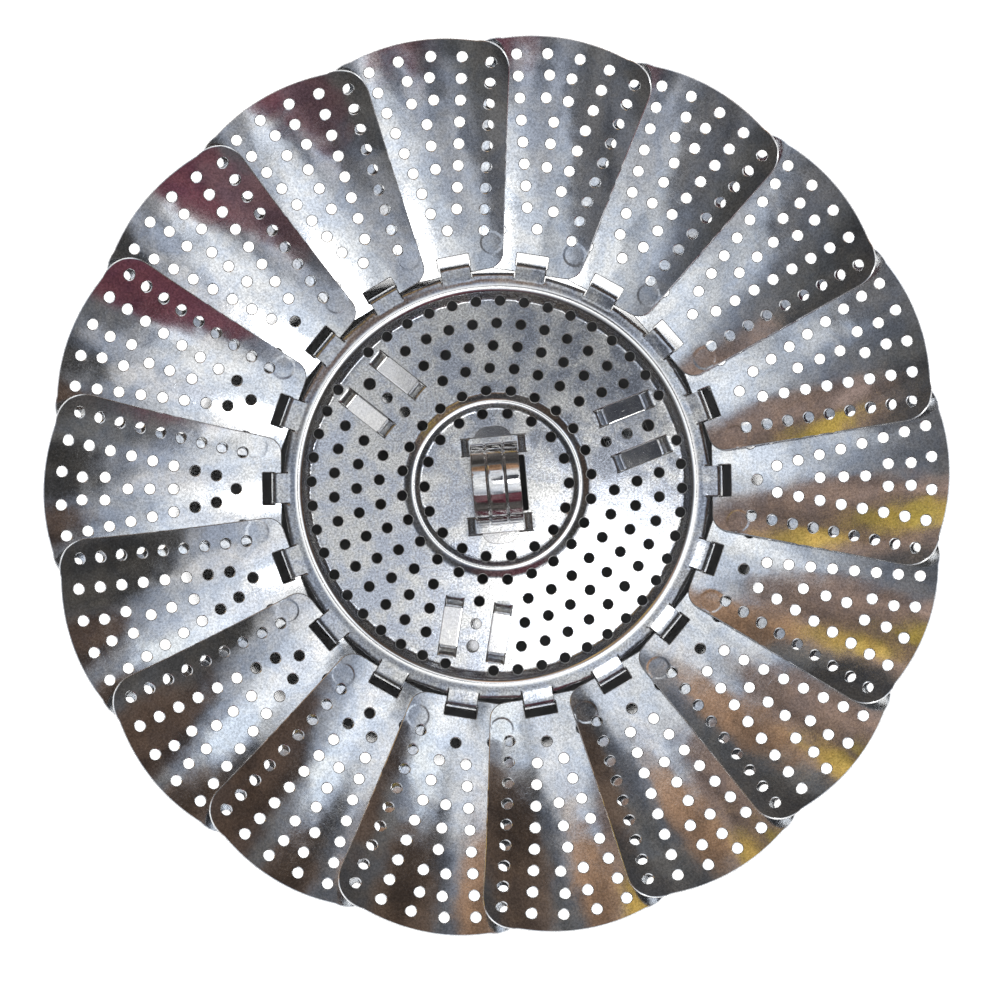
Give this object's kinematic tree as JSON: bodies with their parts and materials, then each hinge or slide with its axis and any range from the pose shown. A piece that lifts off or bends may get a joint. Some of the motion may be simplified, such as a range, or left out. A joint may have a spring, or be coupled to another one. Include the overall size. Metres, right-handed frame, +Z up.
{
  "type": "folding steamer basket",
  "caption": "Perforated steel steamer basket with overlapping petals that fold up about hooks on the rim, a finger loop and strap legs.",
  "frame": {"origin": "on the basket's axis, on the surface that the feet stand on", "axes": "+Z up, along the axis; +X towards the first petal, less one degree"},
  "size_m": [0.2768, 0.2754, 0.0566],
  "materials": {
    "satin_steel": "satin",
    "bright_steel": "bright rolled",
    "polished_steel": "polished"
  },
  "bodies": {
    "base": {"base_plate": "satin_steel", "carry_handle": "polished_steel", "leg_1": "polished_steel", "leg_2": "polished_steel", "leg_3": "polished_steel"},
    "petal_01": {"petal_01": "bright_steel"},
    "petal_02": {"petal_02": "bright_steel"},
    "petal_03": {"petal_03": "bright_steel"},
    "petal_04": {"petal_04": "bright_steel"},
    "petal_05": {"petal_05": "bright_steel"},
    "petal_06": {"petal_06": "bright_steel"},
    "petal_07": {"petal_07": "bright_steel"},
    "petal_08": {"petal_08": "bright_steel"},
    "petal_09": {"petal_09": "bright_steel"},
    "petal_10": {"petal_10": "bright_steel"},
    "petal_11": {"petal_11": "bright_steel"},
    "petal_12": {"petal_12": "bright_steel"},
    "petal_13": {"petal_13": "bright_steel"},
    "petal_14": {"petal_14": "bright_steel"},
    "petal_15": {"petal_15": "bright_steel"},
    "petal_16": {"petal_16": "bright_steel"},
    "petal_17": {"petal_17": "bright_steel"},
    "petal_18": {"petal_18": "bright_steel"}
  },
  "joints": [
    {"name": "petal_hinge_01", "type": "hinge", "parent": "base", "child": "petal_01", "pos_m": [0.06874, 0.0012, 0.03041], "axis": [0.0175, -0.9998, 0], "range_deg": [0, 75]},
    {"name": "petal_hinge_02", "type": "hinge", "parent": "base", "child": "petal_02", "pos_m": [0.06418, 0.02464, 0.03041], "axis": [0.3584, -0.9336, 0], "range_deg": [0, 75]},
    {"name": "petal_hinge_03", "type": "hinge", "parent": "base", "child": "petal_03", "pos_m": [0.05189, 0.0451, 0.03041], "axis": [0.6561, -0.7547, 0], "range_deg": [0, 75]},
    {"name": "petal_hinge_04", "type": "hinge", "parent": "base", "child": "petal_04", "pos_m": [0.03333, 0.06013, 0.03041], "axis": [0.8746, -0.4848, 0], "range_deg": [0, 75]},
    {"name": "petal_hinge_05", "type": "hinge", "parent": "base", "child": "petal_05", "pos_m": [0.01076, 0.0679, 0.03041], "axis": [0.9877, -0.1564, 0], "range_deg": [0, 75]},
    {"name": "petal_hinge_06", "type": "hinge", "parent": "base", "child": "petal_06", "pos_m": [-0.01312, 0.06749, 0.03041], "axis": [0.9816, 0.1908, 0], "range_deg": [0, 75]},
    {"name": "petal_hinge_07", "type": "hinge", "parent": "base", "child": "petal_07", "pos_m": [-0.03541, 0.05893, 0.03041], "axis": [0.8572, 0.515, 0], "range_deg": [0, 75]},
    {"name": "petal_hinge_08", "type": "hinge", "parent": "base", "child": "petal_08", "pos_m": [-0.05343, 0.04327, 0.03041], "axis": [0.6293, 0.7771, 0], "range_deg": [0, 75]},
    {"name": "petal_hinge_09", "type": "hinge", "parent": "base", "child": "petal_09", "pos_m": [-0.065, 0.02238, 0.03041], "axis": [0.3256, 0.9455, 0], "range_deg": [0, 75]},
    {"name": "petal_hinge_10", "type": "hinge", "parent": "base", "child": "petal_10", "pos_m": [-0.06874, -0.0012, 0.03041], "axis": [-0.0175, 0.9998, 0], "range_deg": [0, 75]},
    {"name": "petal_hinge_11", "type": "hinge", "parent": "base", "child": "petal_11", "pos_m": [-0.06418, -0.02464, 0.03041], "axis": [-0.3584, 0.9336, 0], "range_deg": [0, 75]},
    {"name": "petal_hinge_12", "type": "hinge", "parent": "base", "child": "petal_12", "pos_m": [-0.05189, -0.0451, 0.03041], "axis": [-0.6561, 0.7547, 0], "range_deg": [0, 75]},
    {"name": "petal_hinge_13", "type": "hinge", "parent": "base", "child": "petal_13", "pos_m": [-0.03333, -0.06013, 0.03041], "axis": [-0.8746, 0.4848, 0], "range_deg": [0, 75]},
    {"name": "petal_hinge_14", "type": "hinge", "parent": "base", "child": "petal_14", "pos_m": [-0.01076, -0.0679, 0.03041], "axis": [-0.9877, 0.1564, 0], "range_deg": [0, 75]},
    {"name": "petal_hinge_15", "type": "hinge", "parent": "base", "child": "petal_15", "pos_m": [0.01312, -0.06749, 0.03041], "axis": [-0.9816, -0.1908, 0], "range_deg": [0, 75]},
    {"name": "petal_hinge_16", "type": "hinge", "parent": "base", "child": "petal_16", "pos_m": [0.03541, -0.05893, 0.03041], "axis": [-0.8572, -0.515, 0], "range_deg": [0, 75]},
    {"name": "petal_hinge_17", "type": "hinge", "parent": "base", "child": "petal_17", "pos_m": [0.05343, -0.04327, 0.03041], "axis": [-0.6293, -0.7771, 0], "range_deg": [0, 75]},
    {"name": "petal_hinge_18", "type": "hinge", "parent": "base", "child": "petal_18", "pos_m": [0.065, -0.02238, 0.03041], "axis": [-0.3256, -0.9455, 0], "range_deg": [0, 75]}
  ],
  "couplings": [
    {"joint": "petal_hinge_02", "follows": "petal_hinge_01", "ratio": 1},
    {"joint": "petal_hinge_03", "follows": "petal_hinge_01", "ratio": 1},
    {"joint": "petal_hinge_04", "follows": "petal_hinge_01", "ratio": 1},
    {"joint": "petal_hinge_05", "follows": "petal_hinge_01", "ratio": 1},
    {"joint": "petal_hinge_06", "follows": "petal_hinge_01", "ratio": 1},
    {"joint": "petal_hinge_07", "follows": "petal_hinge_01", "ratio": 1},
    {"joint": "petal_hinge_08", "follows": "petal_hinge_01", "ratio": 1},
    {"joint": "petal_hinge_09", "follows": "petal_hinge_01", "ratio": 1},
    {"joint": "petal_hinge_10", "follows": "petal_hinge_01", "ratio": 1},
    {"joint": "petal_hinge_11", "follows": "petal_hinge_01", "ratio": 1},
    {"joint": "petal_hinge_12", "follows": "petal_hinge_01", "ratio": 1},
    {"joint": "petal_hinge_13", "follows": "petal_hinge_01", "ratio": 1},
    {"joint": "petal_hinge_14", "follows": "petal_hinge_01", "ratio": 1},
    {"joint": "petal_hinge_15", "follows": "petal_hinge_01", "ratio": 1},
    {"joint": "petal_hinge_16", "follows": "petal_hinge_01", "ratio": 1},
    {"joint": "petal_hinge_17", "follows": "petal_hinge_01", "ratio": 1},
    {"joint": "petal_hinge_18", "follows": "petal_hinge_01", "ratio": 1}
  ]
}
